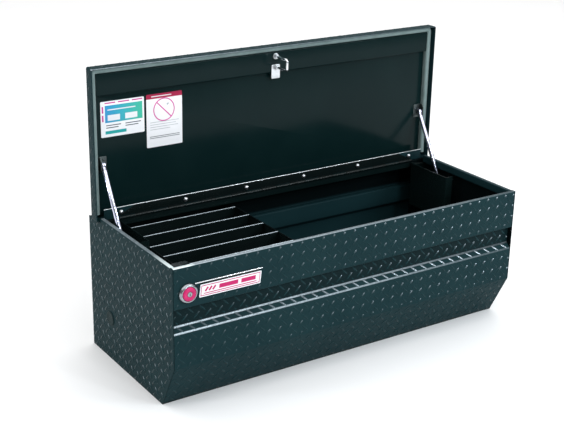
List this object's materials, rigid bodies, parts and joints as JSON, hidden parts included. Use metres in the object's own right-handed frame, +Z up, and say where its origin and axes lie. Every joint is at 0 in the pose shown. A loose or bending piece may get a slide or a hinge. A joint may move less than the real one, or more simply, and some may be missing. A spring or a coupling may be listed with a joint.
{
  "type": "truck tool box",
  "caption": "Diamond-plate truck tool chest with an open hinged lid on gas struts, a sliding compartment tray and a push-button lock.",
  "frame": {"origin": "centre of the chest's plan rectangle on the underside of the floor", "axes": "+X along the chest from the lock end to the far end, +Y from the lock face to the hinge side, +Z up"},
  "size_m": [1.2192, 0.5173, 0.859],
  "materials": {
    "tread_coat": "satin",
    "inner_coat": "gloss",
    "zinc_plate": "satin",
    "bright_chrome": "polished",
    "strut_enamel": "gloss",
    "red_enamel": "gloss",
    "plate_print": "gloss",
    "label_film": "satin",
    "seal_foam": "matte",
    "plug_rubber": "matte"
  },
  "bodies": {
    "chest": {"front_panel": "tread_coat", "rear_panel": "tread_coat", "floor_panel": "tread_coat", "left_end_panel": "tread_coat", "right_end_panel": "tread_coat", "left_end_guard": "inner_coat", "right_end_guard": "inner_coat", "left_hole_plug": "plug_rubber", "right_hole_plug": "plug_rubber", "left_strut_stud": "zinc_plate", "right_strut_stud": "zinc_plate", "lock_cover": "inner_coat", "lock_bezel": "bright_chrome", "lock_nut": "zinc_plate", "rod_clip_outer": "zinc_plate", "rod_clip_inner": "zinc_plate", "latch_housing": "zinc_plate", "rotor_pin": "zinc_plate", "nameplate": "plate_print", "hinge_body_leaf": "inner_coat", "hinge_pin": "zinc_plate"},
    "lid": {"lid_skin": "tread_coat", "lid_liner": "inner_coat", "lid_front_channel": "inner_coat", "lid_seal": "seal_foam", "hinge_lid_leaf": "inner_coat", "hinge_bolt_1": "zinc_plate", "hinge_bolt_2": "zinc_plate", "hinge_bolt_3": "zinc_plate", "hinge_bolt_4": "zinc_plate", "hinge_bolt_5": "zinc_plate", "hinge_bolt_6": "zinc_plate", "striker_plate": "zinc_plate", "striker_bail": "bright_chrome", "striker_nut_front": "zinc_plate", "striker_nut_rear": "zinc_plate", "panel_label": "label_film", "caution_label": "label_film", "left_strut_bracket": "zinc_plate", "right_strut_bracket": "zinc_plate"},
    "push_button": {"push_button": "red_enamel"},
    "lock_cylinder": {"lock_cylinder": "bright_chrome"},
    "release_rod": {"release_rod": "zinc_plate"},
    "latch_rotor": {"latch_rotor": "zinc_plate"},
    "tray": {"tray_pan": "inner_coat", "tray_divider_1": "inner_coat", "tray_divider_2": "inner_coat", "tray_divider_3": "inner_coat", "tray_divider_4": "inner_coat", "tray_divider_5": "inner_coat"},
    "left_strut_rod": {"left_strut_rod": "bright_chrome"},
    "left_strut_tube": {"left_strut_tube": "strut_enamel"},
    "right_strut_rod": {"right_strut_rod": "bright_chrome"},
    "right_strut_tube": {"right_strut_tube": "strut_enamel"}
  },
  "joints": [
    {"name": "lid_hinge", "type": "hinge", "parent": "chest", "child": "lid", "pos_m": [0, 0.1815, 0.413], "axis": [1, 0, 0], "range_deg": [0, 90]},
    {"name": "push_slide", "type": "slide", "parent": "chest", "child": "push_button", "axis": [0, 1, 0], "range_m": [0, 0.006], "stiffness_N_per_m": 600},
    {"name": "lock_turn", "type": "hinge", "parent": "push_button", "child": "lock_cylinder", "pos_m": [-0.555, -0.2525, 0.349], "axis": [0, 1, 0], "range_deg": [0, 90]},
    {"name": "release_turn", "type": "hinge", "parent": "chest", "child": "release_rod", "pos_m": [0, -0.2405, 0.394], "axis": [1, 0, 0], "range_deg": [0, 7.7]},
    {"name": "latch_turn", "type": "hinge", "parent": "chest", "child": "latch_rotor", "pos_m": [-0.02, -0.214, 0.348], "axis": [0, 1, 0], "range_deg": [0, 50], "stiffness_Nm_per_rad": 0.08},
    {"name": "tray_slide", "type": "slide", "parent": "chest", "child": "tray", "axis": [1, 0, 0], "range_m": [0, 0.1]},
    {"name": "left_strut_swing", "type": "hinge", "parent": "chest", "child": "left_strut_rod", "pos_m": [-0.5754, -0.0525, 0.145], "axis": [1, 0, 0], "range_deg": [0, 15.96]},
    {"name": "left_strut_slide", "type": "slide", "parent": "left_strut_rod", "child": "left_strut_tube", "axis": [0, 0.5026, 0.8645], "range_m": [-0.2046, 0]},
    {"name": "right_strut_swing", "type": "hinge", "parent": "chest", "child": "right_strut_rod", "pos_m": [0.5754, -0.0525, 0.145], "axis": [1, 0, 0], "range_deg": [0, 15.96]},
    {"name": "right_strut_slide", "type": "slide", "parent": "right_strut_rod", "child": "right_strut_tube", "axis": [0, 0.5026, 0.8645], "range_m": [-0.2046, 0]}
  ],
  "couplings": [
    {"joint": "release_turn", "follows": "push_slide", "rad_per_m": 22.2},
    {"joint": "left_strut_swing", "follows": "lid_hinge", "ratio": 0.17719},
    {"joint": "left_strut_slide", "follows": "lid_hinge", "m_per_rad": -0.13013},
    {"joint": "right_strut_swing", "follows": "lid_hinge", "ratio": 0.17719},
    {"joint": "right_strut_slide", "follows": "lid_hinge", "m_per_rad": -0.13013}
  ]
}
